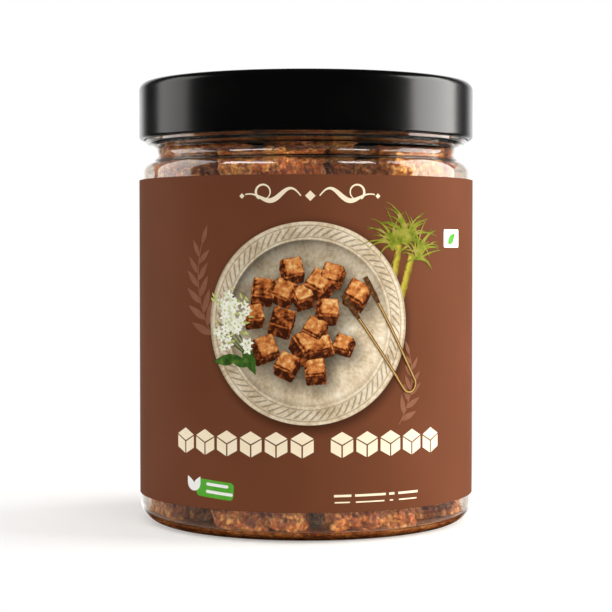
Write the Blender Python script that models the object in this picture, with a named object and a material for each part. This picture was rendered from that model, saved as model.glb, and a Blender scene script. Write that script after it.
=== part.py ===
"""Clear screw-top jar of jaggery cubes: the jar, its lid, its wrap label and the heap inside.

Metres, +Z up, front towards -Y. The origin is the centre of the flat ring that the jar stands on.
"""

import math
import random

import bmesh
import bpy
from mathutils import Matrix, Vector

# Every round piece has the same number of sides, starting at +X, so that their flats line up.
SIDES = 48
GAP = 0.0003  # between pieces that touch

HEIGHT = 0.122  # floor to the top of the lid

# Jar, blown in one piece
BODY_RADIUS = 0.0465
WALL = 0.0009
FLOOR = 0.0019  # height of the inside floor
BASE_RISE = 0.0010  # how far the middle of the base is pushed up
RING_INNER, RING_OUTER = 0.0350, 0.0410  # the flat ring that stands on the table
HEEL_RADIUS = BODY_RADIUS - RING_OUTER
INNER_HEEL_RADIUS = 0.0042
SHOULDER_RADIUS, SHOULDER_HEIGHT = 0.0040, 0.0966
WAIST_ARC, WAIST_HEIGHT = 0.00195, 0.1022
WAIST_RADIUS = 0.0425
WAIST_HALF_TURN = 70  # degrees either side of the waist's narrowest point
NECK_RADIUS, NECK_HEIGHT = 0.0452, 0.1054

# Lid, moulded
LID_RADIUS = 0.0468
LID_BOTTOM = 0.1062
LID_WALL = 0.0013
LID_CORNER = 0.0022
RIM_HEIGHT = HEIGHT - LID_WALL - GAP

# Label, a paper-thin sleeve round the straight part of the jar
LABEL_BOTTOM, LABEL_TOP = 0.0080, 0.0949
LABEL_THICKNESS = 0.0002

# Cubes. The bottom and top courses show above and below the label, so each of their cubes has
# its own place: azimuth of its middle from the front, distance of its middle from the axis,
# turn of its front face, edge, height of its top. Degrees and metres.
CUBE = 0.0235
BOTTOM_COURSE = (
    (-25.7, 0.0288, 8, 0.0235, 0.0255),
    (37.6, 0.0287, -9, 0.0235, 0.0258),
    (92, 0.0312, 87, 0.0230, 0.0252),
    (149, 0.0310, 153, 0.0235, 0.0256),
    (-152, 0.0308, -148, 0.0235, 0.0257),
    (-88, 0.0310, -80, 0.0232, 0.0254),
    (0, 0.0, 20, 0.0220, 0.0245),
)
TOP_COURSE = (
    (-19.6, 0.0273, -31, 0.0215, 0.1017),
    (50, 0.0287, 50, 0.0230, 0.1016),
    (108, 0.0310, 100, 0.0232, 0.0986),
    (163, 0.0272, 166, 0.0230, 0.1062),
    (-139, 0.0272, -136, 0.0232, 0.1070),
    (-80, 0.0312, -74, 0.0232, 0.0984),
    (10, 0.0020, 15, 0.0220, 0.1088),
)
HIDDEN_COURSES = 2
CUBES_PER_COURSE = 6
RING_DISTANCE = 0.0305  # from the axis to a hidden cube's middle
HEAP_BOTTOM, HEAP_TOP = FLOOR + GAP, 0.1090
CORE_RADIUS = 0.0330  # what shows deep between the cubes
CORE_TOP = 0.0980
HEAP_ROWS_FLAT, HEAP_ROWS_SIDE = 5, 20


def clear_scene():
    for thing in list(bpy.data.objects):
        bpy.data.objects.remove(thing, do_unlink=True)


def material(name, colour, roughness, metallic=0.0, transmission=0.0, ior=1.5):
    made = bpy.data.materials.new(name)
    made.use_nodes = True
    shader = made.node_tree.nodes["Principled BSDF"]
    shader.inputs["Base Color"].default_value = (*colour, 1.0)
    shader.inputs["Roughness"].default_value = roughness
    shader.inputs["Metallic"].default_value = metallic
    shader.inputs["Transmission Weight"].default_value = transmission
    shader.inputs["IOR"].default_value = ior
    return made


def arc(centre, radius, start, end, steps):
    """Points (radius, height) from one angle in degrees to another, 0 being straight outwards."""
    points = []
    for step in range(steps + 1):
        angle = math.radians(start + (end - start) * step / steps)
        points.append((centre[0] + radius * math.cos(angle), centre[1] + radius * math.sin(angle)))
    return points


def turned(name, outline, finish, ring=False):
    """A solid turned round the Z axis. The outline runs down the outer side; a ring's closes on itself."""
    mesh = bpy.data.meshes.new(name)
    edges = [(i, i + 1) for i in range(len(outline) - 1)]
    if ring:
        edges.append((len(outline) - 1, 0))
    mesh.from_pydata([(radius, 0.0, height) for radius, height in outline], edges, [])
    piece = bpy.data.objects.new(name, mesh)
    bpy.context.scene.collection.objects.link(piece)
    screw = piece.modifiers.new("Turn", "SCREW")
    screw.axis = "Z"
    screw.steps = screw.render_steps = SIDES
    screw.use_merge_vertices = True
    screw.merge_threshold = 0.00001
    screw.use_smooth_shade = True
    mesh.materials.append(finish)
    return piece


def side_outline(inset):
    """The jar's side from the rim down to the foot of the shoulder, moved inwards by inset."""
    waist_centre = (WAIST_RADIUS + WAIST_ARC, WAIST_HEIGHT)
    shoulder_centre = (BODY_RADIUS - SHOULDER_RADIUS, SHOULDER_HEIGHT)
    lean = inset * math.tan(math.radians(22.5))  # the neck's foot leans outwards at 45 degrees
    upper, lower = 180 - WAIST_HALF_TURN, 180 + WAIST_HALF_TURN
    return (
        [(NECK_RADIUS - inset, RIM_HEIGHT), (NECK_RADIUS - inset, NECK_HEIGHT + lean)]
        + arc(waist_centre, WAIST_ARC + inset, upper, lower, 6)
        + arc(shoulder_centre, SHOULDER_RADIUS - inset, 60, 0, 4)
    )


def inside_outline():
    """The jar's inside from the foot of its heel up to the rim."""
    heel = (BODY_RADIUS - WALL - INNER_HEEL_RADIUS, FLOOR + INNER_HEEL_RADIUS)
    return arc(heel, INNER_HEEL_RADIUS, -90, 0, 4) + side_outline(WALL)[::-1]


def make_jar():
    inside = [(0.0, FLOOR)] + inside_outline()
    outside = side_outline(0.0) + arc((RING_OUTER, HEEL_RADIUS), HEEL_RADIUS, 0, -90, 5)
    base = [(RING_INNER, 0.0), (RING_INNER - 2 * BASE_RISE, BASE_RISE), (0.0, BASE_RISE)]
    clear = material("pet", (0.97, 0.94, 0.90), 0.05, transmission=1.0, ior=1.57)
    return turned("jar", inside + outside + base, clear)


def make_lid():
    corner = (LID_RADIUS - LID_CORNER, HEIGHT - LID_CORNER)
    outside = [(0.0, HEIGHT)] + arc(corner, LID_CORNER, 90, 0, 4) + [(LID_RADIUS, LID_BOTTOM)]
    skirt = LID_RADIUS - LID_WALL
    inside = [(skirt, LID_BOTTOM), (skirt, HEIGHT - LID_WALL), (0.0, HEIGHT - LID_WALL)]
    return turned("lid", outside + inside, material("black_cap", (0.010, 0.010, 0.010), 0.12))


def make_label():
    inner = BODY_RADIUS + GAP
    outer = inner + LABEL_THICKNESS
    outline = [(outer, LABEL_TOP), (outer, LABEL_BOTTOM), (inner, LABEL_BOTTOM), (inner, LABEL_TOP)]
    return turned("label", outline, material("brown_label", (0.157, 0.054, 0.022), 0.45), ring=True)


def placed_cube(azimuth, distance, turn, edge, top, tilt=0.0):
    """A cube as (middle, turn, half its edge)."""
    angle = math.radians(azimuth)
    middle = Vector((distance * math.sin(angle), -distance * math.cos(angle), top - edge / 2))
    turned = Matrix.Rotation(math.radians(turn), 3, "Z") @ Matrix.Rotation(math.radians(tilt), 3, "X")
    return middle, turned, edge / 2


def cube_places():
    chance = random.Random(7)
    places = [placed_cube(*facts) for facts in BOTTOM_COURSE + TOP_COURSE]
    lowest = max(top for *_, top in BOTTOM_COURSE)
    highest = min(top - edge for *_, edge, top in TOP_COURSE)
    for course in range(HIDDEN_COURSES):
        top = lowest + (highest - lowest) * (course + 1) / HIDDEN_COURSES
        places.append(placed_cube(0, 0, chance.uniform(0, 90), CUBE, top))
        for i in range(CUBES_PER_COURSE):
            azimuth = (i + course / 2) * 360 / CUBES_PER_COURSE + chance.uniform(-3, 3)
            turn, edge = azimuth + chance.uniform(-8, 8), CUBE * chance.uniform(0.94, 1.0)
            places.append(placed_cube(azimuth, RING_DISTANCE, turn, edge, top, chance.uniform(-4, 4)))
    return places


def way_out(place, start, direction):
    """How far along the ray from start a cube's last face lies, or 0 where the ray misses it."""
    middle, turn, half = place
    back = turn.transposed()
    local_start, local_direction = back @ (start - middle), back @ direction
    enters, leaves = -math.inf, math.inf
    for begin, step in zip(local_start, local_direction):
        if abs(step) < 1e-9:
            if abs(begin) > half:
                return 0.0
            continue
        first, second = (-half - begin) / step, (half - begin) / step
        enters, leaves = max(enters, min(first, second)), min(leaves, max(first, second))
    return max(leaves, 0.0) if leaves >= enters else 0.0


def inside_radius(height):
    """The jar's inner radius at a height, read from its outline."""
    outline = inside_outline()
    for (r0, z0), (r1, z1) in zip(outline, outline[1:]):
        if z0 <= height <= z1:
            return r0 + (r1 - r0) * (height - z0) / max(z1 - z0, 1e-9)
    return outline[-1][0] if height > outline[-1][1] else outline[0][0]


def heap_directions():
    """Points (radius, height) round a plain drum, from under its middle to over it, evenly spread."""
    drum = BODY_RADIUS - WALL
    flat = [drum * (step + 1) / (HEAP_ROWS_FLAT + 1) for step in range(HEAP_ROWS_FLAT)]
    rise = (HEAP_TOP - HEAP_BOTTOM) / HEAP_ROWS_SIDE
    under = [(radius, HEAP_BOTTOM) for radius in flat]
    side = [(drum, HEAP_BOTTOM + rise * step) for step in range(HEAP_ROWS_SIDE + 1)]
    over = [(radius, HEAP_TOP) for radius in reversed(flat)]
    return under + side + over


def make_heap():
    """One solid out to the cubes' outline, found by rays from the heap's middle."""
    centre = Vector((0.0, 0.0, (HEAP_BOTTOM + HEAP_TOP) / 2))
    core_half_height = CORE_TOP - centre.z
    places = cube_places()

    def surface(radius, height, angle):
        spoke = Vector((math.cos(angle), math.sin(angle), 0.0))
        direction = (spoke * radius + Vector((0, 0, height - centre.z))).normalized()
        level = math.hypot(direction.x, direction.y)
        core_out = min(CORE_RADIUS / max(level, 1e-9), core_half_height / max(abs(direction.z), 1e-9))
        out = max([core_out] + [way_out(place, centre, direction) for place in places])
        point = centre + direction * out
        point.z = max(point.z, HEAP_BOTTOM)
        most = inside_radius(point.z) - GAP
        spread = math.hypot(point.x, point.y)
        if spread > most:
            point.x, point.y = point.x * most / spread, point.y * most / spread
        return point

    shape = bmesh.new()
    rows = [
        [shape.verts.new(surface(radius, height, 2 * math.pi * k / SIDES)) for k in range(SIDES)]
        for radius, height in heap_directions()
    ]
    for low, high in zip(rows, rows[1:]):
        for k in range(SIDES):
            after = (k + 1) % SIDES
            shape.faces.new((low[k], low[after], high[after], high[k]))
    under, over = shape.verts.new((0, 0, HEAP_BOTTOM)), shape.verts.new(surface(0.0, HEAP_TOP, 0.0))
    for k in range(SIDES):
        after = (k + 1) % SIDES
        shape.faces.new((rows[0][after], rows[0][k], under))
        shape.faces.new((rows[-1][k], rows[-1][after], over))
    mesh = bpy.data.meshes.new("jaggery_cubes")
    shape.to_mesh(mesh)
    shape.free()
    mesh.materials.append(material("jaggery", (0.33, 0.105, 0.026), 0.55))
    piece = bpy.data.objects.new("jaggery_cubes", mesh)
    bpy.context.scene.collection.objects.link(piece)
    return piece


clear_scene()
make_jar()
make_lid()
make_label()
make_heap()
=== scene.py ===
import math
import random

import bpy
from mathutils import Matrix, Vector


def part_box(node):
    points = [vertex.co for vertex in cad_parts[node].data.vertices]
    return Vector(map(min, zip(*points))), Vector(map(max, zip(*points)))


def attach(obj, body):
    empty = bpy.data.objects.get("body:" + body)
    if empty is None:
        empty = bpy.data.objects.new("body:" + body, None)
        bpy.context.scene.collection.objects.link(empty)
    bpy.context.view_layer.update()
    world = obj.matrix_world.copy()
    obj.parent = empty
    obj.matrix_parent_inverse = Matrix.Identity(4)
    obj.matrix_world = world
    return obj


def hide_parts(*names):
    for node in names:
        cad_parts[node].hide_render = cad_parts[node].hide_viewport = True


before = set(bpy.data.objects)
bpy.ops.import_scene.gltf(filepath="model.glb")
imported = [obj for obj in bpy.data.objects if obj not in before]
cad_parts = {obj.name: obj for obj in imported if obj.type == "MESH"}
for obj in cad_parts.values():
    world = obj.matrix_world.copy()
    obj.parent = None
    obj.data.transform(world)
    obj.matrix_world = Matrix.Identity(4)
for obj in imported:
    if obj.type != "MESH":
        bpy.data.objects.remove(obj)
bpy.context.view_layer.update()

# A clear PET jar of jaggery cubes with a black screw cap and a printed wrap label.
# Metres, +Z up, the label's front faces -Y. Azimuths are in degrees from the front, + to the right.

mm = 0.001


def srgb(hexColour):
    # hex as picked in an image editor, turned to the linear values that sockets take
    channels = [int(hexColour[i:i + 2], 16) / 255 for i in (1, 3, 5)]
    return tuple(c / 12.92 if c <= 0.04045 else ((c + 0.055) / 1.055) ** 2.4 for c in channels) + (1.0,)


def addNode(tree, kind, settings=None, inputs=None):
    # settings are the node's own fields, or a ramp's "stops" as (place, hex colour or grey);
    # inputs are values or the sockets that feed them
    node = tree.nodes.new("ShaderNode" + kind)
    for name, value in (settings or {}).items():
        if name == "stops":
            marks = node.color_ramp.elements
            marks[0].position, marks[-1].position = value[0][0], value[-1][0]
            for spot, _ in value[1:-1]:
                marks.new(spot)
            for mark, (_, tone) in zip(marks, value):
                mark.color = srgb(tone) if isinstance(tone, str) else (tone, tone, tone, 1.0)
        else:
            setattr(node, name, value)
    for name, value in (inputs or {}).items():
        if isinstance(value, bpy.types.NodeSocket):
            tree.links.new(value, node.inputs[name])
        else:
            node.inputs[name].default_value = value
    return node


def newMaterial(name):
    made = bpy.data.materials.new(name)
    made.use_nodes = True
    made.node_tree.nodes.clear()
    return made, made.node_tree


def finish(tree, shader):
    addNode(tree, "OutputMaterial", inputs={"Surface": shader})


def goTo(mode):
    bpy.ops.object.mode_set(mode=mode)


def startFresh(*pieces):
    # object mode with only these pieces selected, the first of them active
    if bpy.context.object and bpy.context.object.mode != "OBJECT":
        goTo("OBJECT")
    bpy.ops.object.select_all(action="DESELECT")
    for piece in pieces:
        piece.select_set(True)
    if pieces:
        bpy.context.view_layer.objects.active = pieces[0]


def facesOutwards(piece):
    startFresh(piece)
    goTo("EDIT")
    bpy.ops.mesh.select_all(action="SELECT")
    bpy.ops.mesh.normals_make_consistent(inside=False)
    goTo("OBJECT")


def applyModifiers(piece):
    startFresh(piece)
    for modifier in list(piece.modifiers):
        bpy.ops.object.modifier_apply(modifier=modifier.name)


def hangOn(piece, name, material, node, smooth=True):
    # names a finished piece, gives it its material, puts its origin at the world's and says
    # what it stands for
    piece.name = name
    piece.data.name = name
    piece.data.materials.clear()
    piece.data.materials.append(material)
    startFresh(piece)
    bpy.ops.object.transform_apply(location=True, rotation=True, scale=True)
    if smooth:
        bpy.ops.object.shade_smooth_by_angle(angle=math.radians(40))
    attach(piece, "root")
    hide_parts(node)
    print(name, len(piece.data.polygons), "faces")
    return piece


def joinAll(pieces):
    startFresh(*pieces)
    if len(pieces) > 1:
        bpy.ops.object.join()
    return bpy.context.view_layer.objects.active


def arc(centre, radius, start, end, steps):
    turns = [math.radians(start + (end - start) * i / steps) for i in range(steps + 1)]
    return [(centre[0] + radius * math.cos(t), centre[1] + radius * math.sin(t)) for t in turns]


def turn(outline, sides):
    # A ring is drawn at the outline's second point with its middle filled, and then extruded from
    # point to point. The first and last points lie on the axis.
    startFresh()
    radius, height = outline[1]
    bpy.ops.mesh.primitive_circle_add(
        vertices=sides, radius=radius, fill_type="TRIFAN", location=(0, 0, height))
    piece = bpy.context.object
    goTo("EDIT")
    bpy.ops.mesh.select_mode(type="EDGE")
    bpy.ops.mesh.select_all(action="DESELECT")
    bpy.ops.mesh.select_non_manifold()
    for newRadius, newHeight in outline[2:-1]:
        bpy.ops.mesh.extrude_edges_move(
            TRANSFORM_OT_translate={"value": (0, 0, newHeight - height)})
        scale = newRadius / radius
        bpy.ops.transform.resize(value=(scale, scale, 1), center_override=(0, 0, newHeight))
        radius, height = newRadius, newHeight
    bpy.ops.mesh.extrude_edges_move(
        TRANSFORM_OT_translate={"value": (0, 0, outline[-1][1] - height)})
    bpy.ops.mesh.merge(type="CENTER")
    goTo("OBJECT")
    facesOutwards(piece)
    return piece


# Camera: a 103 mm lens half a metre away, a little below the lid
view = {"lens": 103.06, "distance": 0.4947, "height": 0.0758, "pitch": 1.863}


def makeCamera():
    camera = bpy.data.cameras.new("camera")
    camera.lens = view["lens"]
    camera.sensor_width = 36
    camera.clip_start = 0.01
    stand = bpy.data.objects.new("camera", camera)
    stand.location = (0, -view["distance"], view["height"])
    stand.rotation_euler = (math.radians(90 - view["pitch"]), 0, 0)
    bpy.context.scene.collection.objects.link(stand)
    bpy.context.scene.camera = stand
    bpy.context.scene.view_settings.view_transform = "Standard"


# Lamps: what each lights, azimuth and elevation of its middle, distance, width, height, radiance.
# Soft panels light all but the cap and the jar. Strips show in the cap alone, glows and windows
# in the jar alone, and low panels reach the cubes in the two bands that the label leaves clear.
lamps = {
    "keyPanel": ("soft", 96, 14, 0.9, 0.8, 1.0, 5.6),
    "frontPanel": ("soft", 20, 22, 1.1, 0.9, 0.8, 1.7),
    "leftPanel": ("soft", -112, 14, 0.9, 0.5, 1.0, 3.0),
    "lowFront": ("low", -12, 4, 0.9, 0.9, 0.4, 2.6),
    "lowRight": ("low", 52, 6, 0.9, 0.4, 0.4, 10.0),
    "rightStrip": ("strip", 97, 8, 0.9, 0.74, 1.2, 6.3),
    "leftStrip": ("strip", -101, 8, 0.9, 0.52, 1.2, 2.0),
    "rightGlow": ("glow", 97, 24, 0.9, 0.76, 0.84, 6.3),
    "leftGlow": ("glow", -101, 24, 0.9, 0.62, 0.84, 3.6),
    "windowLeft": ("window", -45, 42, 1.0, 0.55, 0.22, 12.0),
    "windowRight": ("window", 40, 42, 1.0, 0.36, 0.22, 12.0),
}
lampColour = (1.0, 0.985, 0.955)
lampAim = Vector((0, 0, 60 * mm))


def makeLamps(jar, lid, heap):
    groups = {"soft": (jar, lid), "strip": (lid,), "glow": (jar,), "window": (jar,), "low": heap}
    for kind, pieces in groups.items():
        group = bpy.data.collections.new(kind + " lamps")
        for piece in pieces:
            group.objects.link(piece)
        for member in group.collection_objects:
            member.light_linking.link_state = "EXCLUDE" if kind == "soft" else "INCLUDE"
        groups[kind] = group
    for name, (kind, azimuth, elevation, distance, width, height, radiance) in lamps.items():
        light = bpy.data.lights.new(name, "AREA")
        light.shape = "RECTANGLE"
        light.size, light.size_y = width, height
        light.color = lampColour
        # a panel's watts for the radiance that it shows
        light.energy = radiance * math.pi * width * height
        lamp = bpy.data.objects.new(name, light)
        azimuth, elevation = math.radians(azimuth), math.radians(elevation)
        out = Vector((math.sin(azimuth) * math.cos(elevation),
                      -math.cos(azimuth) * math.cos(elevation), math.sin(elevation)))
        lamp.location = lampAim + out * distance
        lamp.rotation_euler = out.to_track_quat("Z", "Y").to_euler()
        lamp.visible_camera = False
        lamp.visible_transmission = False
        lamp.visible_diffuse = kind in ("soft", "low")
        lamp.light_linking.receiver_collection = groups[kind]
        bpy.context.scene.collection.objects.link(lamp)


# Surroundings: white where the camera sees them, soft grey light on the object, and for
# reflections dark in front, less dark from inside the jar's plastic, and white behind.
# The white starts between the two backEdge values of Y and fades out between those of lowEdge.
room = {"light": 0.55, "behind": 1.35, "infront": 0.02, "inPlastic": 0.42,
        "backEdge": (0.79, 0.91), "lowEdge": (-0.34, -0.18)}


def whiteBehind(tree, path):
    # 1 where the eye looks straight or through the jar, and 1 where a glossy surface mirrors
    looks = addNode(tree, "Math", {"operation": "MAXIMUM"}, {
        0: path.outputs["Is Camera Ray"], 1: path.outputs["Is Transmission Ray"]}).outputs[0]
    bounces = addNode(tree, "Math", {"operation": "ADD", "use_clamp": True}, {
        0: path.outputs["Diffuse Depth"], 1: path.outputs["Glossy Depth"]}).outputs[0]
    seen = addNode(tree, "Math", {"operation": "SUBTRACT", "use_clamp": True}, {
        0: looks, 1: bounces}).outputs[0]
    mirrored = addNode(tree, "Math", {"operation": "MINIMUM"}, {
        0: path.outputs["Glossy Depth"], 1: 1.0}).outputs[0]
    return seen, mirrored


def makeRoom():
    world = bpy.data.worlds.new("room")
    bpy.context.scene.world = world
    world.use_nodes = True
    tree = world.node_tree
    tree.nodes.clear()
    path = addNode(tree, "LightPath")
    seen, mirrored = whiteBehind(tree, path)
    toward = addNode(tree, "TexCoord").outputs["Generated"]
    split = addNode(tree, "SeparateXYZ", inputs={"Vector": toward})
    inPlastic = addNode(tree, "Math", {"operation": "MINIMUM"}, {
        0: path.outputs["Transmission Depth"], 1: 1.0}).outputs[0]
    infront = addNode(tree, "Mix", {"data_type": "FLOAT"}, {
        "Factor": inPlastic, "A": room["infront"], "B": room["inPlastic"]}).outputs[0]
    behind = addNode(tree, "MapRange", inputs={
        "Value": split.outputs["Y"], "From Min": room["backEdge"][0], "From Max": room["backEdge"][1],
        "To Min": infront, "To Max": room["behind"]}).outputs["Result"]
    level = addNode(tree, "MapRange", inputs={
        "Value": split.outputs["Z"], "From Min": room["lowEdge"][0], "From Max": room["lowEdge"][1],
        }).outputs["Result"]
    backdrop = addNode(tree, "Math", {"operation": "MULTIPLY"}, {0: behind, 1: level}).outputs[0]
    mirror = addNode(tree, "Mix", {"data_type": "FLOAT"}, {
        "Factor": mirrored, "A": room["light"], "B": backdrop}).outputs[0]
    strength = addNode(tree, "Mix", {"data_type": "FLOAT"}, {
        "Factor": seen, "A": mirror, "B": 1.0}).outputs[0]
    shade = addNode(tree, "Background", inputs={"Color": (1, 1, 1, 1), "Strength": strength})
    addNode(tree, "OutputWorld", inputs={"Surface": shade.outputs[0]})


# Floor: a white sheet that fades into the white round it and keeps the jar's soft shadow
floor = {"size": 1.6, "colour": "#f1f0ee", "lift": 0.22, "whole": 0.060, "gone": 0.150}


def makeFloor():
    startFresh()
    bpy.ops.mesh.primitive_plane_add(size=floor["size"], location=(0, 0, 0))
    sheet = bpy.context.object
    sheet.name = "floor"
    material, tree = newMaterial("white paper sweep")
    path = addNode(tree, "LightPath")
    coords = addNode(tree, "TexCoord").outputs["Object"]
    reach = addNode(tree, "VectorMath", {"operation": "LENGTH"}, {0: coords}).outputs["Value"]
    fade = addNode(tree, "MapRange", {"interpolation_type": "SMOOTHSTEP"}, {
        "Value": reach, "From Min": floor["whole"], "From Max": floor["gone"]}).outputs["Result"]
    seen, _ = whiteBehind(tree, path)
    lift = addNode(tree, "Math", {"operation": "MULTIPLY"}, {0: seen, 1: floor["lift"]}).outputs[0]
    paper = addNode(tree, "BsdfDiffuse", inputs={"Color": srgb(floor["colour"])})
    glow = addNode(tree, "Emission", inputs={"Color": (1, 1, 1, 1), "Strength": lift})
    lit = addNode(tree, "AddShader", inputs={0: paper.outputs[0], 1: glow.outputs[0]})
    clear = addNode(tree, "BsdfTransparent")
    both = addNode(tree, "MixShader", inputs={
        "Fac": fade, 1: lit.outputs[0], 2: clear.outputs[0]})
    finish(tree, both.outputs[0])
    sheet.data.materials.append(material)
    sheet.visible_glossy = False


# PET, injection-stretch blow moulded: water clear and glass smooth, faintly warm at its edges
def makePet():
    material, tree = newMaterial("PET")
    glass = addNode(tree, "BsdfPrincipled", inputs={
        "Base Color": srgb("#fff8f0"), "Roughness": 0.015, "IOR": 1.57,
        "Transmission Weight": 1.0})
    clear = addNode(tree, "BsdfTransparent", inputs={"Color": srgb("#f8f4ee")})
    path = addNode(tree, "LightPath")
    both = addNode(tree, "MixShader", inputs={
        "Fac": path.outputs["Is Shadow Ray"], 1: glass.outputs[0], 2: clear.outputs[0]})
    finish(tree, both.outputs[0])
    return material


# Jar: a wall that thickens into the heel and base
jarBody = {"radius": 46.6 * mm, "wall": 0.9 * mm, "floor": 1.9 * mm, "baseRise": 1.0 * mm,
           "ringOuter": 41.0 * mm, "ringInner": 35.0 * mm, "innerHeel": 3.2 * mm,
           "shoulder": 4.0 * mm, "shoulderHeight": 96.6 * mm,
           "waist": 42.5 * mm, "waistArc": 1.95 * mm, "waistHeight": 102.2 * mm,
           "neck": 45.1 * mm, "neckHeight": 105.4 * mm, "sides": 160}


def jarSide(inset):
    # from the rim down to the foot of the shoulder, moved inwards by inset
    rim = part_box("jar")[1].z
    waistCentre = (jarBody["waist"] + jarBody["waistArc"], jarBody["waistHeight"])
    shoulderCentre = (jarBody["radius"] - jarBody["shoulder"], jarBody["shoulderHeight"])
    neck = jarBody["neck"] - inset
    return (arc((neck - 0.45 * mm + inset / 2, rim - 0.45 * mm), 0.45 * mm - inset / 2, 90, 0, 4)
            + [(neck, jarBody["neckHeight"] + 0.41 * inset + 0.5 * mm),
               (neck, jarBody["neckHeight"] + 0.41 * inset)]
            + arc(waistCentre, jarBody["waistArc"] + inset, 110, 250, 14)
            + arc(shoulderCentre, jarBody["shoulder"] - inset, 68, 0, 12))


def makeJar():
    body = jarBody
    heel = body["radius"] - body["ringOuter"]
    innerRadius = body["radius"] - body["wall"]
    innerHeel = (innerRadius - body["innerHeel"], body["floor"] + body["innerHeel"])
    inside = [(0, body["floor"]), (10 * mm, body["floor"])]
    inside += arc(innerHeel, body["innerHeel"], -90, 0, 12) + jarSide(body["wall"])[::-1]
    outside = jarSide(0) + arc((body["ringOuter"], heel), heel, 0, -90, 16)
    rise = body["baseRise"]
    base = [(body["ringInner"], 0), (body["ringInner"] - rise, 0.4 * rise),
            (body["ringInner"] - 3 * rise, rise), (10 * mm, rise), (0, rise)]
    jar = turn(inside + outside + base, body["sides"])
    return hangOn(jar, "petJar", makePet(), "jar")


# Polypropylene, moulded in a polished tool: deep glossy black that blurs what it mirrors
def makeCapPlastic():
    material, tree = newMaterial("black polypropylene")
    coords = addNode(tree, "TexCoord").outputs["Object"]
    flow = addNode(tree, "TexNoise", inputs={"Vector": coords, "Scale": 1 / (9 * mm), "Detail": 3})
    rough = addNode(tree, "MapRange", inputs={
        "Value": flow.outputs["Fac"], "To Min": 0.19, "To Max": 0.25}).outputs["Result"]
    tone = addNode(tree, "ValToRGB", {"stops": [(0.3, "#040404"), (0.7, "#080807")]},
                   {"Fac": flow.outputs["Fac"]})
    shine = addNode(tree, "BsdfPrincipled", inputs={
        "Base Color": tone.outputs[0], "Roughness": rough, "IOR": 1.49})
    finish(tree, shine.outputs[0])
    return material


cap = {"radius": 46.7 * mm, "wall": 1.3 * mm, "topEdge": 2.2 * mm, "foot": 0.9 * mm, "sides": 192}


def makeLid():
    low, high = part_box("lid")
    radius, top, bottom = cap["radius"], high.z, low.z
    edge, foot, inner = cap["topEdge"], cap["foot"], cap["radius"] - cap["wall"]
    outline = [(0, top - 0.15 * mm), (38 * mm, top - 0.15 * mm), (40 * mm, top)]
    outline += arc((radius - edge, top - edge), edge, 90, 0, 12)
    outline += [(radius, bottom + 2 * mm)] + arc((radius - foot, bottom + foot), foot, 0, -90, 6)
    outline += [(inner, bottom), (inner, top - cap["wall"]), (10 * mm, top - cap["wall"])]
    outline += [(0, top - cap["wall"])]
    return hangOn(turn(outline, cap["sides"]), "capMoulding", makeCapPlastic(), "lid")


# Label film: a wrap with its print on it. Flat artwork is laid out in mm, along the label from
# the middle of its front and up from the table, and then wrapped round the jar.
label = {"radius": 46.7 * mm, "thickness": 0.12 * mm, "overlap": 8 * mm, "step": 1.5 * mm,
         "ink": 0.02 * mm}
plate = {"middle": (0.7, 56.7), "radius": 26.4, "ring": (22.3, 25.0), "leaves": 70, "slant": 3.3,
         "sides": 120, "rings": 28, "stretch": (1.015, 0.99), "shadow": 0.88, "darkest": 0.12}


def flatUv(piece, middle):
    layer = piece.data.uv_layers.new(name="flat") if not piece.data.uv_layers else piece.data.uv_layers[0]
    layer.name = "flat"
    for loop in piece.data.loops:
        point = piece.data.vertices[loop.vertex_index].co
        layer.data[loop.index].uv = (point.x / mm - middle[0], point.z / mm - middle[1])


def wrap(piece):
    for vertex in piece.data.vertices:
        along, lift = vertex.co.x, -vertex.co.y
        angle = along / label["radius"]
        reach = label["radius"] + lift
        vertex.co.x, vertex.co.y = reach * math.sin(angle), -reach * math.cos(angle)


def shapeFrom(points, lift=0.0):
    # one flat face round an outline of (along, up) in mm
    startFresh()
    bpy.ops.mesh.primitive_circle_add(vertices=len(points), radius=mm, fill_type="NGON")
    shape = bpy.context.object
    for vertex, (along, up) in zip(shape.data.vertices, points):
        vertex.co = (along * mm, -lift * mm, up * mm)
    return shape


def ribbon(path, widths, lift=0.0, rows=2):
    # a strip of faces along a path of (along, up) in mm; "shade" runs from 0 to 1 across it
    startFresh()
    bpy.ops.mesh.primitive_grid_add(x_subdivisions=len(path) - 1, y_subdivisions=rows, size=1)
    strip = bpy.context.object
    shade = strip.data.attributes.new("shade", "FLOAT", "POINT")
    for vertex in strip.data.vertices:
        i = round((vertex.co.x + 0.5) * (len(path) - 1))
        across = vertex.co.y
        before, after = path[max(i - 1, 0)], path[min(i + 1, len(path) - 1)]
        way = Vector((after[0] - before[0], after[1] - before[1])).normalized()
        width = widths[i] if isinstance(widths, (list, tuple)) else widths
        shade.data[vertex.index].value = across + 0.5
        vertex.co = ((path[i][0] - way.y * across * width) * mm, -lift * mm,
                     (path[i][1] + way.x * across * width) * mm)
    return strip


def layPrint(piece, name, material, lift, middle=(0, 0), step=2.0):
    # splits flat artwork so that it can bend, thickens it by a coat of ink and wraps it
    startFresh(piece)
    across = [vertex.co.x / mm for vertex in piece.data.vertices]
    goTo("EDIT")
    cut = math.ceil(min(across) / step) * step if step else math.inf
    while cut < max(across):
        bpy.ops.mesh.select_all(action="SELECT")
        bpy.ops.mesh.bisect(plane_co=(cut * mm, 0, 0), plane_no=(1, 0, 0))
        cut += step
    goTo("OBJECT")
    flatUv(piece, middle)
    for vertex in piece.data.vertices:
        vertex.co.y -= lift * mm
    coat = piece.modifiers.new("coat", "SOLIDIFY")
    coat.thickness = label["ink"]
    coat.offset = 0
    applyModifiers(piece)
    wrap(piece)
    facesOutwards(piece)
    return hangOn(piece, name, material, "label", smooth=False)


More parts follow.
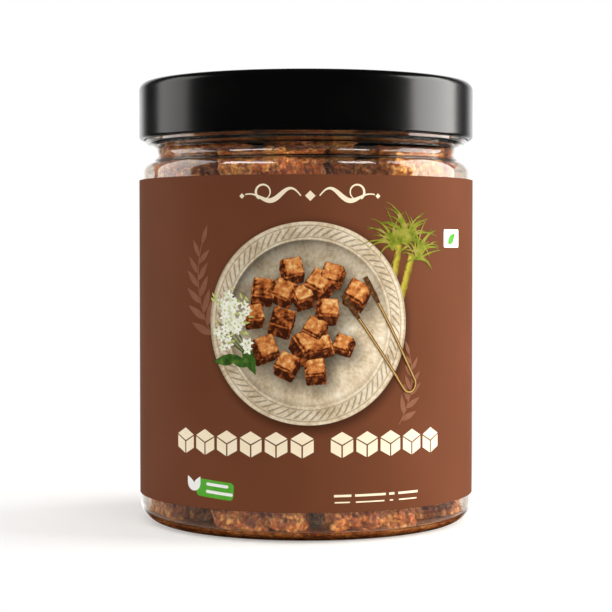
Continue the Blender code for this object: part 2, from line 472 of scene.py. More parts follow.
# Printed BOPP film, matt laminated: flat warm brown, darker where the pictured plate drops its shadow
def makeLabelFilm():
    material, tree = newMaterial("printed BOPP film")
    flat = addNode(tree, "UVMap", {"uv_map": "flat"}).outputs["UV"]
    cloud = addNode(tree, "TexNoise", inputs={"Vector": flat, "Scale": 1 / 30, "Detail": 2})
    tone = addNode(tree, "ValToRGB", {"stops": [(0.3, "#6c3f29"), (0.7, "#73432d")]},
                   {"Fac": cloud.outputs["Fac"]})
    fromPlate = addNode(tree, "VectorMath", {"operation": "DISTANCE"}, {
        0: flat, 1: (plate["middle"][0] + 0.6, plate["middle"][1] - 0.9, 0)}).outputs["Value"]
    dropped = addNode(tree, "MapRange", {"interpolation_type": "SMOOTHSTEP"}, {
        "Value": fromPlate, "From Min": plate["radius"] - 1.5, "From Max": plate["radius"] + 2.8,
        "To Min": 0.42, "To Max": 1.0}).outputs["Result"]
    shaded = addNode(tree, "Mix", {"data_type": "RGBA", "blend_type": "MULTIPLY"}, {
        "Factor": 1.0, "A": tone.outputs[0], "B": dropped})
    film = addNode(tree, "BsdfPrincipled", inputs={
        "Base Color": shaded.outputs[2], "Roughness": 0.6, "IOR": 1.5, "Specular IOR Level": 0.02})
    finish(tree, film.outputs[0])
    return material


def makeLabel():
    low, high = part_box("label")
    around = 2 * math.pi * label["radius"]
    length, height = around + label["overlap"], high.z - low.z
    startFresh()
    bpy.ops.mesh.primitive_grid_add(x_subdivisions=int(length / label["step"]), y_subdivisions=4, size=1)
    film = bpy.context.object
    for vertex in film.data.vertices:
        along = (vertex.co.x + 0.5) * length - around / 2
        past = max(0.0, along - around / 2 + label["overlap"] / 2) / label["overlap"]
        lift = 1.2 * label["thickness"] * min(1.0, past * 3)
        vertex.co = (along, -lift, low.z + (vertex.co.y + 0.5) * height)
    flatUv(film, (0, 0))
    wrap(film)
    thickness = film.modifiers.new("thickness", "SOLIDIFY")
    thickness.thickness = label["thickness"]
    thickness.offset = 0
    applyModifiers(film)
    facesOutwards(film)
    hangOn(film, "labelFilm", makeLabelFilm(), "label")


inkFinish = {"Roughness": 0.5, "IOR": 1.5, "Specular IOR Level": 0.03}


# Ink on the film: a ramp of tones picked by the "shade" attribute, broken up by a grain in mm
def makeInk(name, tones, grain=0.8, spread=0.25, even=False):
    material, tree = newMaterial(name)
    flat = addNode(tree, "UVMap", {"uv_map": "flat"}).outputs["UV"]
    speck = addNode(tree, "TexNoise", inputs={
        "Vector": flat, "Scale": 1 / grain, "Detail": 4, "Roughness": 0.6}).outputs["Fac"]
    if even:
        pick = speck
    else:
        shade = addNode(tree, "Attribute", {"attribute_name": "shade"}).outputs["Fac"]
        shift = addNode(tree, "MapRange", inputs={
            "Value": speck, "From Min": 0.3, "From Max": 0.7, "To Min": -spread, "To Max": spread})
        pick = addNode(tree, "Math", {"operation": "ADD", "use_clamp": True}, {
            0: shade, 1: shift.outputs["Result"]}).outputs[0]
    tone = addNode(tree, "ValToRGB", {"stops": tones}, {"Fac": pick})
    ink = addNode(tree, "BsdfPrincipled", inputs={
        "Base Color": tone.outputs[0], **inkFinish})
    finish(tree, ink.outputs[0])
    return material


# Pictured plate: carved pale stone with a rope of slanting leaves round its rim
def makePlateInk():
    material, tree = newMaterial("plate inks")
    flat = addNode(tree, "UVMap", {"uv_map": "flat"}).outputs["UV"]
    split = addNode(tree, "SeparateXYZ", inputs={"Vector": flat})
    across, up = split.outputs["X"], split.outputs["Y"]
    out = addNode(tree, "VectorMath", {"operation": "LENGTH"}, {0: flat}).outputs["Value"]
    share = addNode(tree, "Math", {"operation": "DIVIDE"}, {
        0: out, 1: plate["radius"]}).outputs[0]
    coarse = addNode(tree, "TexNoise", inputs={
        "Vector": flat, "Scale": 1 / 7, "Detail": 5, "Roughness": 0.65}).outputs["Fac"]
    fine = addNode(tree, "TexNoise", inputs={
        "Vector": flat, "Scale": 1 / 0.9, "Detail": 4, "Roughness": 0.7}).outputs["Fac"]
    both = addNode(tree, "Mix", {"data_type": "FLOAT"}, {
        "Factor": 0.42, "A": coarse, "B": fine}).outputs[0]
    stone = addNode(tree, "ValToRGB", {"stops": [
        (0.30, "#a38c70"), (0.44, "#cdb796"), (0.54, "#e6d4b6"), (0.68, "#f9edd8")]}, {"Fac": both})
    angle = addNode(tree, "Math", {"operation": "ARCTAN2"}, {0: up, 1: across}).outputs[0]
    slant = addNode(tree, "Math", {"operation": "MULTIPLY"}, {0: out, 1: plate["slant"]}).outputs[0]
    phase = addNode(tree, "Math", {"operation": "MULTIPLY_ADD"}, {
        0: angle, 1: plate["leaves"], 2: slant}).outputs[0]
    wave = addNode(tree, "Math", {"operation": "SINE"}, {0: phase}).outputs[0]
    leaf = addNode(tree, "MapRange", {"interpolation_type": "SMOOTHSTEP"}, {
        "Value": wave, "From Min": -1.0, "From Max": -0.1, "To Min": 0.50, "To Max": 1.0})
    inner, outer = (edge / plate["radius"] for edge in plate["ring"])
    inRing = addNode(tree, "ValToRGB", {"stops": [
        (inner, 0.0), (inner + 0.012, 1.0), (outer - 0.012, 1.0), (outer, 0.0)]}, {"Fac": share})
    rope = addNode(tree, "Mix", {"data_type": "FLOAT"}, {
        "Factor": inRing.outputs[0], "A": 1.0, "B": leaf.outputs["Result"]}).outputs[0]
    profile = addNode(tree, "ValToRGB", {"stops": [
        (0.0, 0.84), (0.60, 0.90), (0.76, 0.84), (0.805, 0.60), (0.818, 0.95), (0.832, 1.0),
        (0.840, 0.50), (0.850, 0.90), (0.945, 0.96), (0.952, 0.46), (0.964, 0.98), (0.985, 1.0),
        (1.0, 0.60)]}, {"Fac": share})
    # the bowl's wall lies in shade at the upper left and catches light at the lower right
    lean = addNode(tree, "VectorMath", {"operation": "DOT_PRODUCT"}, {
        0: flat, 1: (-0.62, 0.78, 0)}).outputs["Value"]
    wall = addNode(tree, "ValToRGB", {"stops": [
        (0.42, 0.0), (0.72, 0.7), (0.79, 1.0), (0.812, 1.0), (0.82, 0.0)]}, {"Fac": share})
    side = addNode(tree, "MapRange", inputs={
        "Value": lean, "From Min": -18, "From Max": 20, "To Min": 1.22, "To Max": 0.34})
    bowl = addNode(tree, "Mix", {"data_type": "FLOAT"}, {
        "Factor": wall.outputs[0], "A": 1.0, "B": side.outputs["Result"]}).outputs[0]
    shade = addNode(tree, "Attribute", {"attribute_name": "shade"}).outputs["Fac"]
    carved = stone.outputs[0]
    for depth in (profile.outputs[0], rope, bowl, shade):
        carved = addNode(tree, "Mix", {"data_type": "RGBA", "blend_type": "MULTIPLY"}, {
            "Factor": 1.0, "A": carved, "B": depth}).outputs[2]
    ink = addNode(tree, "BsdfPrincipled", inputs={
        "Base Color": carved, **inkFinish})
    finish(tree, ink.outputs[0])
    return material


# Pictured cubes: where each lies from the plate's middle, its size and its turn
pictured = {"places": (
    (-4.3, 13.4, 5.5, 14), (6.2, 12.2, 5.2, 70), (2.9, 9.7, 6.1, 58), (-11.9, 8.0, 5.7, -4),
    (-6.4, 7.8, 5.6, 66), (-1.5, 6.7, 5.0, 22), (12.5, 7.2, 6.0, 62), (-14.3, 1.7, 4.9, 12),
    (-6.9, 0.2, 5.9, -17), (4.7, 3.0, 5.4, 2), (1.6, -1.8, 5.2, 60), (3.7, -6.0, 4.6, 10),
    (-0.4, -5.9, 6.8, 33), (9.1, -5.6, 4.6, 68), (-11.5, -6.8, 6.0, 24), (-5.6, -11.0, 5.3, 62),
    (1.7, -12.4, 5.2, 3)),
    "pitch": (58, 72), "roll": (-12, 12), "cuts": 9, "roughness": 0.10, "flatness": 0.012,
    "apart": 0.002, "seed": 11, "light": (-0.35, -1.0, 0.62)}


def pictureSpots():
    return [(plate["middle"][0] + x, plate["middle"][1] + z, size, turned)
            for x, z, size, turned in pictured["places"]]


def makePlate(spots):
    # rings of faces, with the soft shadows of what lies on the plate in the "shade" attribute
    radius, middle = plate["radius"], plate["middle"]
    startFresh()
    bpy.ops.mesh.primitive_circle_add(vertices=plate["sides"], radius=mm, fill_type="TRIFAN")
    disc = bpy.context.object
    goTo("EDIT")
    bpy.ops.mesh.select_mode(type="EDGE")
    bpy.ops.mesh.select_all(action="DESELECT")
    bpy.ops.mesh.select_non_manifold()
    steps = plate["rings"] - 1
    for i in range(steps):
        now, then = 1 + (radius - 1) * i / steps, 1 + (radius - 1) * (i + 1) / steps
        bpy.ops.mesh.extrude_edges_move(TRANSFORM_OT_translate={"value": (0, 0, 0)})
        bpy.ops.transform.resize(value=(then / now, then / now, 1), center_override=(0, 0, 0))
    goTo("OBJECT")
    shade = disc.data.attributes.new("shade", "FLOAT", "POINT")
    for vertex in disc.data.vertices:
        along = vertex.co.x / mm * plate["stretch"][0] + middle[0]
        up = vertex.co.y / mm * plate["stretch"][1] + middle[1]
        dark = 1.0
        for x, z, size, _ in spots:
            away = math.hypot(along - x - 0.20 * size, up - z + 0.30 * size) / (1.15 * size)
            dark *= 1 - plate["shadow"] * max(0.0, 1 - away) ** 0.8
        shade.data[vertex.index].value = max(dark, plate["darkest"])
        vertex.co = (along * mm, 0, up * mm)
    layPrint(disc, "printPlate", makePlateInk(), 0.10, middle, step=0)


def pictureCube(spot, order, chance):
    # a small rough cube, shaded by its own faces and then pressed flat
    x, z, size, yaw = spot
    startFresh()
    pitch, roll = chance.uniform(*pictured["pitch"]), chance.uniform(*pictured["roll"])
    bpy.ops.mesh.primitive_cube_add(size=size * mm)
    cube = bpy.context.object
    goTo("EDIT")
    bpy.ops.mesh.subdivide(number_cuts=pictured["cuts"])
    bpy.ops.mesh.vertices_smooth(factor=0.5, repeat=3)
    bpy.ops.transform.vertex_random(
        offset=pictured["roughness"] * mm, uniform=1.0, normal=0.0, seed=order)
    goTo("OBJECT")
    turned = (Matrix.Rotation(math.radians(pitch), 4, "X") @ Matrix.Rotation(math.radians(roll), 4, "Y")
              @ Matrix.Rotation(math.radians(yaw), 4, "Z"))
    cube.data.transform(turned)
    startFresh(cube)
    goTo("EDIT")
    bpy.ops.mesh.select_all(action="DESELECT")
    goTo("OBJECT")
    for face in cube.data.polygons:
        face.select = face.normal.y > -0.03
    goTo("EDIT")
    bpy.ops.mesh.select_mode(type="FACE")
    bpy.ops.mesh.delete(type="FACE")
    goTo("OBJECT")
    light = Vector(pictured["light"]).normalized()
    shade = cube.data.attributes.new("shade", "FLOAT", "POINT")
    for vertex in cube.data.vertices:
        lit = max(0.0, vertex.normal.dot(light))
        shade.data[vertex.index].value = 0.04 + 0.80 * lit ** 1.5
        depth = vertex.co.y * pictured["flatness"] - order * pictured["apart"] * mm
        vertex.co = (vertex.co.x + x * mm, depth, vertex.co.z + z * mm)
    return cube


def makePicturedCubes(spots):
    chance = random.Random(pictured["seed"] + 1)
    # the lowest are nearest, so they overlap the others
    inOrder = sorted(spots, key=lambda spot: -spot[1])
    heap = joinAll([pictureCube(spot, i, chance) for i, spot in enumerate(inOrder)])
    inks = makeInk("jaggery inks", [(0.0, "#3d1b0b"), (0.20, "#763a1a"), (0.40, "#a85a29"),
                                    (0.64, "#cf7f42"), (0.84, "#e29e59"), (1.0, "#f2c684")],
                   grain=1.5, spread=0.40)
    layPrint(heap, "printCubes", inks, 0.17, step=0)


def leafShape(middle, length, width, angle, lift=0.0, sides=12):
    # a pointed leaf whose stalk end is at middle, growing at angle degrees from +along
    turnBy = Matrix.Rotation(math.radians(angle), 2)
    points = []
    for i in range(sides):
        t = i / (sides - 1)
        points.append((length * t, width / 2 * math.sin(math.pi * t ** 0.8)))
    for i in range(sides - 2, 0, -1):
        t = i / (sides - 1)
        points.append((length * t, -width / 2 * math.sin(math.pi * t ** 0.8)))
    placed = [turnBy @ Vector(point) for point in points]
    return shapeFrom([(middle[0] + p.x, middle[1] + p.y) for p in placed], lift)


def bentPath(start, angle, length, bend, steps=8):
    # points that set off at angle degrees and turn by bend degrees on the way
    points = [start]
    for i in range(steps):
        way = math.radians(angle + bend * (i / steps) ** 1.3)
        points.append((points[-1][0] + length / steps * math.cos(way),
                       points[-1][1] + length / steps * math.sin(way)))
    return points


# Sprigs: pairs of pointed leaves up a thin stem, a tone lighter than the label
# (foot, angle, length, bend, pairs, leaf length, leaf width)
sprigs = (((-24.0, 50.5), 122, 28, -52, 6, 7.6, 2.1), ((25.4, 30.2), 58, 19, 52, 5, 5.6, 1.6),
          ((128.0, 20.0), 105, 56, -35, 9, 11.0, 2.9), ((-128.0, 20.0), 75, 56, 35, 9, 11.0, 2.9))


def makeSprigs():
    shapes = []
    for foot, angle, length, bend, pairs, leafLength, leafWidth in sprigs:
        stem = bentPath(foot, angle, length, bend, 32)
        shapes.append(ribbon(stem, 0.34, 0.002))
        for i in range(2 * pairs):
            at = int((i + 1) / (2 * pairs + 1) * 31)
            spot, after = stem[at], stem[at + 1]
            way = math.degrees(math.atan2(after[1] - spot[1], after[0] - spot[0]))
            size = 1 - 0.18 * i / pairs
            side = 1 if i % 2 else -1
            shapes.append(leafShape(spot, leafLength * size, leafWidth * size,
                                    way + side * 36, 0.004 + 0.001 * i))
        shapes.append(leafShape(stem[-1], leafLength * 0.7, leafWidth * 0.7, angle + bend, 0.03))
    inks = makeInk("sprig ink", [(0.3, "#85563f"), (0.7, "#906048")], grain=3.0, even=True)
    layPrint(joinAll(shapes), "printSprigs", inks, 0.09)


# Cane: slanting stalks under tufts of long blades
cane = {"stalks": (((23.4, 66.5), (25.4, 77.0), 1.9), ((25.6, 62.0), (29.6, 74.5), 2.1)),
        "tufts": ((24.0, 76.5, 26), (27.6, 78.0, 32), (31.4, 74.0, 26)), "blade": (4.5, 10.5), "seed": 5}


def makeCane():
    chance = random.Random(cane["seed"])
    stalks, blades = [], []
    for foot, top, width in cane["stalks"]:
        path = [(foot[0] + (top[0] - foot[0]) * i / 12, foot[1] + (top[1] - foot[1]) * i / 12)
                for i in range(13)]
        stalks.append(ribbon(path, [width * (1.0 if i % 4 else 1.14) for i in range(13)], 0.0, 4))
    for x, z, count in cane["tufts"]:
        for i in range(count):
            angle = chance.gauss(90, 46)
            length = chance.uniform(*cane["blade"]) * (1.25 if abs(angle - 90) < 18 else 1.0)
            bend = -(angle - 90) / abs(angle - 90) * -chance.uniform(25, 95) if angle != 90 else 0
            path = bentPath((x + chance.uniform(-1, 1), z + chance.uniform(-1.2, 1.2)), angle, length, bend)
            widths = [0.56 * (1 - (k / 8) ** 1.7) + 0.05 for k in range(9)]
            blades.append(ribbon(path, widths, 0.01 + 0.0008 * len(blades), 2))
    stalkInk = makeInk("cane stalk inks", [(0.0, "#75661d"), (0.4, "#ab9a31"), (0.75, "#c2ae45"),
                                           (1.0, "#806f24")], grain=1.4, spread=0.18)
    bladeInk = makeInk("cane blade inks", [(0.28, "#59651a"), (0.44, "#7b8424"), (0.55, "#908f30"),
                                           (0.70, "#a6955c")], grain=2.4, even=True)
    layPrint(joinAll(stalks), "printCaneStalks", stalkInk, 0.09, step=0)
    layPrint(joinAll(blades), "printCaneBlades", bladeInk, 0.11, step=0)


# Flowers: a spray of small white stars and buds with dark leaves, over the plate's left edge
spray = {"middle": (-19.6, 58.2), "spread": (4.4, 6.6), "stars": 46, "buds": 34, "seed": 3,
         "budsWithin": ((-5.0, 4.4), (-6.5, 8.0)), "petals": 5, "stemFoot": (-14.0, 47.5), "stems": 4,
         "leaves": ((-16.5, 50.0, 7.5, 2.6, -62), (-18.2, 47.5, 7.0, 2.8, 188), (-15.4, 45.5, 6.5, 2.6, 150),
                    (-14.2, 52.5, 8.0, 2.0, -84))}


def makeSpray():
    chance = random.Random(spray["seed"])
    petals, hearts, buds = [], [], []
    x0, z0 = spray["middle"]
    for i in range(spray["stars"]):
        x = x0 + chance.gauss(0, spray["spread"][0] * 0.52)
        z = z0 + chance.gauss(0, spray["spread"][1] * 0.52)
        size, start = chance.uniform(1.15, 1.75), chance.uniform(0, 72)
        for k in range(spray["petals"]):
            angle = start + 360 / spray["petals"] * k
            petals.append(leafShape((x, z), size, size * 0.55, angle, 0.0012 * i + 0.0002 * k, 6))
        hearts.append(shapeFrom([(x + 0.28 * math.cos(a * math.pi / 3), z + 0.28 * math.sin(a * math.pi / 3))
                                 for a in range(6)], 0.0012 * i + 0.004))
    for i in range(spray["buds"]):
        (left, right), (low, high) = spray["budsWithin"]
        x = x0 + min(max(chance.gauss(0, spray["spread"][0] * 0.62), left), right)
        z = z0 + min(max(chance.gauss(0, spray["spread"][1] * 0.62), low), high)
        buds.append(leafShape((x, z), chance.uniform(1.0, 1.9), 0.62, chance.uniform(0, 360), 0.0008 * i, 6))
    leaves = [leafShape((x, z), length, width, angle, 0.0005 * i)
              for i, (x, z, length, width, angle) in enumerate(spray["leaves"])]
    stems = [ribbon(bentPath(spray["stemFoot"], 118 + 9 * k, 13, 10 - 6 * k), 0.32, 0.001 * k)
             for k in range(spray["stems"])]
    whites = makeInk("petal inks", [(0.3, "#c3c591"), (0.46, "#f1f0d8"), (0.58, "#fffef2")],
                     grain=1.6, even=True)
    greens = makeInk("leaf inks", [(0.3, "#23401a"), (0.5, "#3f6424"), (0.7, "#6f8a3c")],
                     grain=2.2, even=True)
    yellows = makeInk("bud inks", [(0.3, "#8fa045"), (0.5, "#c3c96e"), (0.7, "#e3e2a4")],
                      grain=1.0, even=True)
    layPrint(joinAll(leaves + stems), "printLeaves", greens, 0.20)
    layPrint(joinAll(buds + hearts), "printBuds", yellows, 0.235)
    layPrint(joinAll(petals), "printPetals", whites, 0.225)


# Tongs: two springy gold strips from a U-bend past the plate's rim
tongs = {"bend": (28.6, 40.6), "radius": 2.1, "tips": ((9.4, 64.0), (15.4, 68.6)), "width": 0.95}


def makeTongs():
    (bx, bz), radius = tongs["bend"], tongs["radius"]
    lowTip, highTip = tongs["tips"]
    way = Vector((bx - (lowTip[0] + highTip[0]) / 2, bz - (lowTip[1] + highTip[1]) / 2)).normalized()
    side = Vector((-way.y, way.x))
    heading = math.degrees(math.atan2(way.y, way.x))
    bow = arc((bx, bz), radius, heading - 90, heading + 90, 14)
    lowEnd, highEnd = bow[0], bow[-1]
    lowArm = [(lowTip[0] + (lowEnd[0] - lowTip[0]) * i / 16, lowTip[1] + (lowEnd[1] - lowTip[1]) * i / 16)
              for i in range(16)]
    highArm = [(highEnd[0] + (highTip[0] - highEnd[0]) * i / 16,
                highEnd[1] + (highTip[1] - highEnd[1]) * i / 16) for i in range(1, 17)]
    path = lowArm + bow + highArm
    widths = [tongs["width"] * (1.35 if i < 4 or i >= len(path) - 4 else 0.82) for i in range(len(path))]
    gold = makeInk("gold inks", [(0.0, "#54391a"), (0.3, "#9a743b"), (0.55, "#d8b474"), (0.7, "#876229"),
                                 (1.0, "#4f3718")], grain=2.5, spread=0.10)
    layPrint(ribbon(path, widths, 0.0, 4), "printTongs", gold, 0.27, step=0)
    grips = joinAll([ribbon(arm, [1.2, 1.5, 1.3, 1.4, 0.9], 0.0, 2) for arm in (path[:5], path[:-6:-1])])
    dark = makeInk("tong grip inks", [(0.3, "#341c0d"), (0.6, "#6a4526"), (0.75, "#a0784a")],
                   grain=0.9, even=True)
    layPrint(grips, "printTongGrips", dark, 0.31, step=0)


# Cream motifs: a plain flourish above the plate, and a row of little blocks under it
cream = {"flourishHeight": 89.4, "wave": (2.4, 14.6, 2.3), "curl": (12.2, 1.0, 1.9),
         "diamonds": ((0, 1.35), (-17.9, 0.7), (17.9, 0.7)), "blockRow": 25.4, "block": (5.9, 6.9),
         "gap": 0.85, "groups": (6, 5), "between": 4.4, "middle": 0.8, "blockLine": 0.2,
         "dashes": ((4.6, 7.2), (8.6, 12.8), (1.6, 22.4), (6.4, 25.2)), "dashRows": (12.3, 10.6)}


def blockShapes(x, z, width, height, lift):
    # a block seen from a corner: a top and two sides, parted by thin lines
    half, quarter, line = width / 2, height / 4, cream["blockLine"]
    top = [(x, z + 2 * quarter), (x - half, z + quarter), (x, z + line / 2), (x + half, z + quarter)]
    left = [(x - half, z + quarter - 1.7 * line), (x - half, z - quarter), (x - line, z - 2 * quarter + line),
            (x - line, z - line)]
    right = [(2 * x - px, pz) for px, pz in left][::-1]
    return [shapeFrom(points, lift) for points in (top, left, right)]


def makeCreamMotifs():
    shapes = []
    width, height = cream["block"]
    pitch = width + cream["gap"]
    total = sum(cream["groups"]) * pitch - 2 * cream["gap"] + cream["between"]
    x = cream["middle"] - total / 2 + width / 2
    for count in cream["groups"]:
        for i in range(count):
            shapes += blockShapes(x, cream["blockRow"], width, height, 0.0)
            x += pitch
        x += cream["between"] - cream["gap"]
    z, middle = cream["flourishHeight"], cream["middle"] + 0.3
    waveStart, waveLength, swing = cream["wave"]
    curlOut, curlUp, curlRadius = cream["curl"]
    for side in (-1, 1):
        wave = [(middle + side * (waveStart + waveLength * i / 28),
                 z + swing * math.sin(i / 28 * 2.6 * math.pi) * (1 - i / 34)) for i in range(29)]
        widths = [0.34 + 0.95 * math.sin(math.pi * min(1, i / 26)) ** 2 for i in range(29)]
        shapes.append(ribbon(wave, widths, 0.0))
        start, end = (250, -60) if side > 0 else (290, 600)
        curl = arc((middle + side * curlOut, z + curlUp), curlRadius, start, end, 20)
        shapes.append(ribbon(curl, [0.25 + 0.45 * i / 20 for i in range(21)], 0.003))
    for dx, size in cream["diamonds"]:
        shapes.append(shapeFrom([(middle + dx, z + size), (middle + dx - size, z), (middle + dx, z - size),
                                 (middle + dx + size, z)], 0.0))
    high, low = cream["dashRows"]
    for length, start in cream["dashes"]:
        shapes.append(ribbon([(start + length * k / 6, high) for k in range(7)], 0.62))
        shapes.append(ribbon([(start + 0.2 + (length - 0.6) * k / 6, low) for k in range(7)], 0.36))
    inks = makeInk("cream ink", [(0.3, "#fbe8c6"), (0.7, "#fdefd3")], grain=3.0, even=True)
    layPrint(joinAll(shapes), "printCream", inks, 0.09)


# Tag and patch: a plain green tag with a white leaf and bars, and a small white patch with a leaf
tag = {"middle": (-26.6, 13.2), "size": (11.5, 4.6), "slant": 4, "patch": (45.9, 78.6, 8.0, 4.9)}


def roundedBox(x, z, width, height, corner, slant=0.0):
    points = []
    for cx, cz, start in ((1, 1, 0), (-1, 1, 90), (-1, -1, 180), (1, -1, 270)):
        points += arc((cx * (width / 2 - corner), cz * (height / 2 - corner)), corner, start, start + 90, 4)
    spin = Matrix.Rotation(math.radians(slant), 2)
    return [(x + (spin @ Vector(p)).x, z + (spin @ Vector(p)).y) for p in points]


def makeTag():
    (x, z), (width, height) = tag["middle"], tag["size"]
    px, pz, patchWidth, patchHeight = tag["patch"]
    tilt = -tag["slant"]
    greens = [shapeFrom(roundedBox(x + 1.6, z, width, height, 1.1, tilt), 0.0)]
    whites = [leafShape((x - 5.2, z - 0.8), 4.4, 2.2, 118, 0.014),
              leafShape((x - 5.0, z - 0.8), 4.4, 2.2, 62, 0.016),
              shapeFrom(roundedBox(px, pz, patchWidth, patchHeight, 0.5), 0.0)]
    spin = Matrix.Rotation(math.radians(tilt), 2)
    for row, (length, up) in enumerate(((6.8, 0.95), (8.2, -0.95))):
        start = spin @ Vector((-2.2, up))
        whites.append(shapeFrom(roundedBox(x + 1.2 + start.x + length / 2, z + start.y - row * 0.1,
                                           length, 0.8, 0.39, tilt), 0.014))
    greens.append(leafShape((px - 1.9, pz - 1.4), 4.6, 2.2, 37, 0.03))
    white = makeInk("white ink", [(0.3, "#f3f4ee"), (0.7, "#fbfbf7")], grain=2.0, even=True)
    green = makeInk("green ink", [(0.3, "#4ea22f"), (0.7, "#66b843")], grain=4.0, even=True)
    layPrint(joinAll(greens), "printGreenTag", green, 0.09)
    layPrint(joinAll(whites), "printWhiteMarks", white, 0.095)


# Jaggery, boiled cane juice set in trays and cut: golden brown sugar grains, moist and worn, with painted
# shade in its crevices and between its grains
def makeJaggery(name, dark, middle, light, sheen=0.36):
    material, tree = newMaterial(name)
    coords = addNode(tree, "TexCoord").outputs["Object"]
    patches = addNode(tree, "TexNoise", inputs={
        "Vector": coords, "Scale": 1 / (9 * mm), "Detail": 5, "Roughness": 0.62})
    grains = addNode(tree, "TexVoronoi", {"feature": "F1"}, {
        "Vector": coords, "Scale": 1 / (0.9 * mm)})
    grainTone = addNode(tree, "SeparateColor", inputs={"Color": grains.outputs["Color"]})
    blend = addNode(tree, "Mix", {"data_type": "FLOAT"}, {
        "Factor": 0.30, "A": patches.outputs["Fac"], "B": grainTone.outputs[0]})
    tone = addNode(tree, "ValToRGB", {"stops": [(0.32, dark), (0.50, middle), (0.66, light)]},
                   {"Fac": blend.outputs[0]})
    # painted shade: the sugar's colour is darkened in crevices, where pointiness is low, and in the gaps
    # between grains, where the Voronoi distance is high
    crevice = addNode(tree, "NewGeometry").outputs["Pointiness"]
    deep = addNode(tree, "MapRange", inputs={
        "Value": crevice, "From Min": 0.40, "From Max": 0.52, "To Min": 0.16, "To Max": 1.0})
    between = addNode(tree, "MapRange", inputs={
        "Value": grains.outputs["Distance"], "From Min": 0.42, "From Max": 0.80,
        "To Min": 1.0, "To Max": 0.5})
    paintedCreviceShade = addNode(tree, "Math", {"operation": "MULTIPLY"}, {
        0: deep.outputs["Result"], 1: between.outputs["Result"]})
    shaded = addNode(tree, "Mix", {"data_type": "RGBA", "blend_type": "MULTIPLY"}, {
        "Factor": 1.0, "A": tone.outputs[0], "B": paintedCreviceShade.outputs[0]})
    fine = addNode(tree, "TexNoise", inputs={
        "Vector": coords, "Scale": 1 / (0.45 * mm), "Detail": 3})
    bump = addNode(tree, "Bump", inputs={
        "Height": fine.outputs["Fac"], "Strength": 0.7, "Distance": 0.25 * mm})
    sugar = addNode(tree, "BsdfPrincipled", inputs={
        "Base Color": shaded.outputs[2], "Roughness": sheen, "IOR": 1.5, "Normal": bump.outputs[0],
        "Subsurface Weight": 0.2, "Subsurface Radius": (1.0, 0.35, 0.12), "Subsurface Scale": 2 * mm})
    finish(tree, sugar.outputs[0])
    return material


# Cubes: (azimuth, distance from the axis, turn, edge, top) of each in the courses that show,
# and rings of six round one in the courses behind the label
cubes = {
    "bottom": ((-18.5, 31.8, -13, 23.3, 25.3), (26.0, 31.6, 18, 23.3, 25.3), (80, 31.2, 85, 23.0, 25.2),
               (136, 31.0, 139, 23.5, 25.6), (-164, 30.8, -161, 23.5, 25.7), (-73, 31.0, -68, 23.2, 25.4),
               (-118, 31.0, -121, 22.0, 25.2)),
    "top": ((-19.6, 27.3, -31, 21.5, 101.7), (50, 28.7, 50, 23.0, 101.6), (108, 30.0, 100, 23.2, 105.6),
            (163, 27.2, 166, 23.0, 106.2), (-139, 27.2, -136, 23.2, 107.0), (-80, 29.4, -74, 23.2, 105.8),
            (10, 2.0, 15, 22.0, 108.8)),
    "waistFoot": 98.5 * mm, "waistRise": 2.6 * mm, "wallGap": 0.15 * mm, "floorGap": 0.1 * mm,
    "waistGap": 0.3 * mm, "edge": 23.5, "hiddenCourses": 2, "around": 6, "distance": 30.5,
    "cuts": 5, "seed": 7}
cubeRelief = {"worn faces": ("CLOUDS", 8 * mm, 2.4 * mm), "chips": ("VORONOI", 3.0 * mm, -1.9 * mm),
              "grains": ("VORONOI", 1.15 * mm, -0.75 * mm)}


def cubePlace(azimuth, distance, turned, edge, top, tilt=0.0):
    angle = math.radians(azimuth)
    middle = (distance * mm * math.sin(angle), -distance * mm * math.cos(angle), (top - edge / 2) * mm)
    return middle, (math.radians(tilt), 0, math.radians(turned)), edge * mm


def cubePlaces():
    chance = random.Random(cubes["seed"])
    courses = [[cubePlace(*facts) for facts in cubes["bottom"]]]
    lowest = max(facts[4] for facts in cubes["bottom"])
    highest = min(facts[4] - facts[3] for facts in cubes["top"]) - 1
    for course in range(cubes["hiddenCourses"]):
        top = lowest + (highest - lowest) * (course + 1) / cubes["hiddenCourses"]
        made = [cubePlace(0, 0, chance.uniform(0, 90), cubes["edge"], top)]
        for i in range(cubes["around"]):
            azimuth = (i + course / 2) * 360 / cubes["around"] + chance.uniform(-3, 3)
            turned, edge = azimuth + chance.uniform(-8, 8), cubes["edge"] * chance.uniform(0.94, 1.0)
            made.append(cubePlace(azimuth, cubes["distance"], turned, edge, top, chance.uniform(-4, 4)))
        courses.append(made)
    return courses + [[cubePlace(*facts) for facts in cubes["top"]]]


def roughCube(middle, rotation, edge, seed, levels):
    startFresh()
    bpy.ops.mesh.primitive_cube_add(size=edge, location=middle, rotation=rotation)
    cube = bpy.context.object
    goTo("EDIT")
    bpy.ops.mesh.select_all(action="SELECT")
    bpy.ops.mesh.subdivide(number_cuts=cubes["cuts"])
    bpy.ops.transform.vertex_random(offset=0.7 * mm, uniform=1.0, normal=0.0, seed=seed)
    goTo("OBJECT")
    bpy.ops.object.transform_apply(location=True, rotation=True, scale=True)
    rounding = cube.modifiers.new("rounding", "SUBSURF")
    rounding.levels = rounding.render_levels = levels
    return cube


def roughen(heap, reliefs, group=""):
    for name, (kind, size, strength) in reliefs.items():
        texture = bpy.data.textures.new(name, kind)
        texture.noise_scale = size
        relief = heap.modifiers.new(name, "DISPLACE")
        relief.texture = texture
        relief.texture_coords = "GLOBAL"
        relief.strength = strength
        relief.mid_level = 0.5
        relief.vertex_group = group
    applyModifiers(heap)


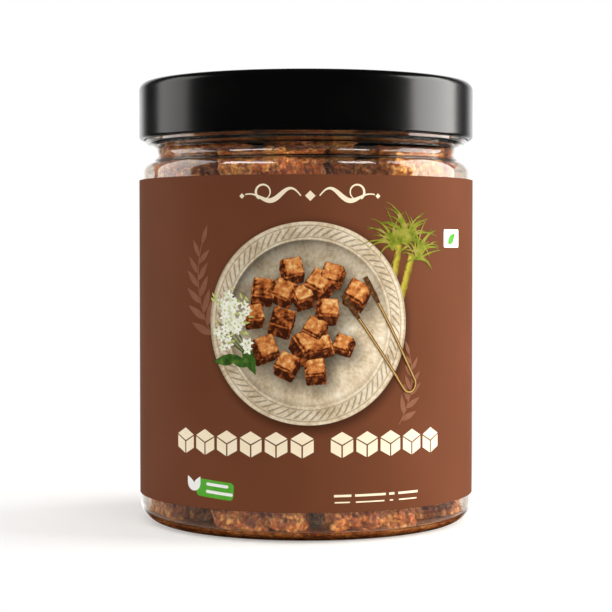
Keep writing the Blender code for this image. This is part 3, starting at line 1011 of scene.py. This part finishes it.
def keepInside(piece):
    # nothing pokes into the jar's wall or floor
    most = jarBody["radius"] - jarBody["wall"] - cubes["wallGap"]
    lowest, heel = jarBody["floor"] + cubes["floorGap"], jarBody["innerHeel"]
    waist = jarBody["waist"] - jarBody["wall"] - cubes["waistGap"]
    for vertex in piece.data.vertices:
        co = vertex.co
        co.z = max(co.z, lowest)
        limit = most
        under = heel - (co.z - jarBody["floor"])
        if under > 0:
            limit = most - heel + math.sqrt(max(heel * heel - under * under, 0.0))
        if co.z > cubes["waistFoot"]:
            limit = most + (waist - most) * min(1.0, (co.z - cubes["waistFoot"]) / cubes["waistRise"])
        out = math.hypot(co.x, co.y)
        if out > limit:
            co.x, co.y = co.x * limit / out, co.y * limit / out


def makeCubes():
    sugar = makeJaggery("jaggery", "#7c3210", "#c86f2c", "#f3b662")
    courses = cubePlaces()
    heaps = []
    for number, places in enumerate(courses):
        seen = number in (0, len(courses) - 1)
        made = [roughCube(*facts, 10 * number + i, 3 if seen else 2) for i, facts in enumerate(places)]
        heap = joinAll(made)
        roughen(heap, cubeRelief)
        keepInside(heap)
        heaps.append(hangOn(heap, f"cubesCourse{number + 1}", sugar, "jaggery_cubes"))
    return heaps


# Core and crumbs: a rough core deep in the heap, whose dark browns are painted shade for the depth seen
# between the cubes, and broken grains over the jar's floor
crumbs = {"core": 21 * mm, "top": 97 * mm, "depth": 0.35 * mm, "sink": 0.25 * mm,
          "heelEnd": -50, "sides": 200, "rings": 44, "coreFoot": 4 * mm, "coreRows": 24, "coreSides": 48}


def makeCrumbs():
    # the bed clings to the jar, so it reaches a little way into the wall
    sink = crumbs["sink"]
    floorHeight, heel = jarBody["floor"] - sink, jarBody["innerHeel"]
    most = jarBody["radius"] - jarBody["wall"] + sink
    outline = [(0, floorHeight), (10 * mm, floorHeight)]
    outline += arc((most - heel, floorHeight + heel), heel, -90, crumbs["heelEnd"], 8)
    edge, rim = outline[-1]
    for i in range(1, crumbs["rings"]):
        share = i / crumbs["rings"]
        dip = (rim - jarBody["floor"] - crumbs["depth"]) * min(1.0, share * 16)
        outline.append((edge * (1 - share), rim - dip))
    outline.append((0, outline[-1][1]))
    bed = turn(outline, crumbs["sides"])
    top = bed.vertex_groups.new(name="top")
    bedTop = jarBody["floor"] + crumbs["depth"] * 0.6
    top.add([vertex.index for vertex in bed.data.vertices
             if vertex.co.z > bedTop and math.hypot(*vertex.co.xy) < edge], 1.0, "REPLACE")
    roughen(bed, {"crumbs": ("VORONOI", 1.6 * mm, -0.6 * mm), "dust": ("CLOUDS", 4 * mm, 0.5 * mm)}, "top")
    hangOn(bed, "crumbBed", makeJaggery("jaggery crumbs", "#6a3212", "#a25a26", "#cf8d4c"),
           "jaggery_cubes")
    foot, steps = crumbs["coreFoot"], crumbs["coreRows"]
    rows = [(crumbs["core"], foot + (crumbs["top"] - foot) * i / steps) for i in range(steps + 1)]
    core = turn([(0, foot)] + rows + [(0, crumbs["top"])], crumbs["coreSides"])
    roughen(core, {"rubble": ("CLOUDS", 9 * mm, 5 * mm)})
    # painted shade: the core stands for the jaggery deep in the heap, and its near-black browns stand for the
    # shade seen in the gaps between the cubes
    hangOn(core, "heapCore", makeJaggery("jaggery core in painted shade", "#2c1205", "#4a200c", "#6b3413", 0.6),
           "jaggery_cubes")
    return bed


makeCamera()
makeRoom()
makeFloor()
petJar, capMoulding = makeJar(), makeLid()
makeLabel()
spots = pictureSpots()
makePlate(spots)
makePicturedCubes(spots)
makeSprigs()
makeCane()
makeSpray()
makeTongs()
makeCreamMotifs()
makeTag()
courses = makeCubes()
makeLamps(petJar, capMoulding, (courses[0], courses[-1], makeCrumbs()))
